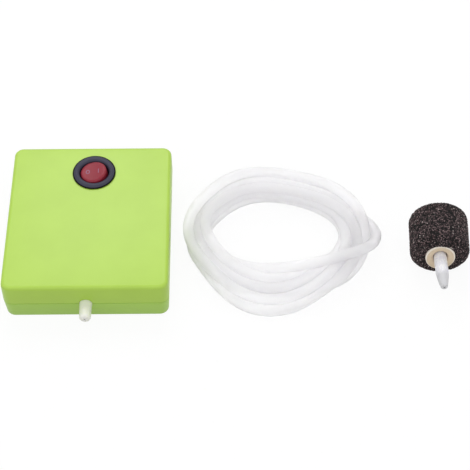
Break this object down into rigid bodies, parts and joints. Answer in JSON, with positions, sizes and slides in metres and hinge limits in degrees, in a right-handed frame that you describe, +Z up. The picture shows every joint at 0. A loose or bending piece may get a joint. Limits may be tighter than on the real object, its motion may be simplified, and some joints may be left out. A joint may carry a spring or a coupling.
{
  "type": "aquarium air pump",
  "caption": "Flat box-shaped battery aquarium air pump with a round rocker switch and front outlet, shown with its coiled airline tube and cylindrical air stone.",
  "frame": {"origin": "centre of the pump's flat rest face, on the surface that the pump, tube coil and air stone stand on", "axes": "+Z up, outlet nozzle towards -Y, coil and air stone towards +X"},
  "size_m": [0.256, 0.1101, 0.0329],
  "materials": {
    "housing_green": "satin moulded ABS",
    "door_green": "satin moulded ABS",
    "bezel_black": "semi-gloss nylon",
    "end_cap_black": "moulded",
    "rocker_red": "translucent red polycarbonate",
    "nozzle_cream": "natural polyethylene",
    "head_white": "moulded",
    "spigot_white": "natural polyethylene",
    "blade_brass": "stamped",
    "sprung_steel": "nickel plated spring steel",
    "motor_steel": "zinc plated",
    "screw_zinc": "zinc plated",
    "cell_wrap": "shrink wrap, bare of print",
    "black_rubber": "moulded",
    "tube_milky": "milky translucent silicone tube",
    "filter_felt": "felt",
    "lead_red": "PVC insulation",
    "lead_black": "PVC insulation",
    "stone_grit": "bonded black-brown grit",
    "collar_beige": "moulded"
  },
  "bodies": {
    "pump": {"base_housing": "housing_green", "top_housing": "housing_green", "screw_front_left": "screw_zinc", "screw_front_right": "screw_zinc", "screw_back_left": "screw_zinc", "screw_back_right": "screw_zinc", "switch_body": "bezel_black", "switch_terminal_left": "blade_brass", "switch_terminal_right": "blade_brass", "battery_cell_left": "cell_wrap", "battery_cell_right": "cell_wrap", "contact_bridge": "sprung_steel", "contact_negative": "sprung_steel", "contact_positive": "sprung_steel", "contact_spring_front": "sprung_steel", "contact_spring_back": "sprung_steel", "motor_can": "motor_steel", "motor_end_cap": "end_cap_black", "motor_tab_left": "blade_brass", "motor_tab_right": "blade_brass", "head_cover": "head_white", "valve_sheet": "black_rubber", "pump_head": "head_white", "diaphragm": "black_rubber", "diaphragm_retainer": "head_white", "head_screw_lower": "screw_zinc", "head_screw_upper": "screw_zinc", "outlet_nozzle": "nozzle_cream", "outlet_hose": "tube_milky", "intake_filter": "filter_felt", "lead_battery_switch": "lead_red", "lead_switch_motor": "lead_red", "lead_motor_battery": "lead_black", "airline_coil": "tube_milky", "stone_body": "stone_grit", "stone_collar": "collar_beige", "stone_spigot": "spigot_white"},
    "rocker": {"switch_rocker": "rocker_red"},
    "door": {"battery_door": "door_green"},
    "rotor": {"motor_shaft": "motor_steel", "motor_armature": "motor_steel", "eccentric_wheel": "head_white"},
    "rod": {"connecting_rod": "head_white"}
  },
  "joints": [
    {"name": "rocker_tilt", "type": "hinge", "parent": "pump", "child": "rocker", "pos_m": [0.0015, 0.0303, 0.0245], "axis": [0, 1, 0], "range_deg": [0, 20]},
    {"name": "door_slide", "type": "slide", "parent": "pump", "child": "door", "axis": [-1, 0, 0], "range_m": [0, 0.036]},
    {"name": "motor_spin", "type": "hinge", "parent": "pump", "child": "rotor", "pos_m": [0.0277, -0.012, 0.012], "axis": [0, 1, 0], "continuous": true},
    {"name": "rod_level", "type": "hinge", "parent": "rotor", "child": "rod", "pos_m": [0.0277, -0.012, 0.0132], "axis": [0, 1, 0], "continuous": true}
  ],
  "couplings": [
    {"joint": "rod_level", "follows": "motor_spin", "ratio": -1}
  ]
}
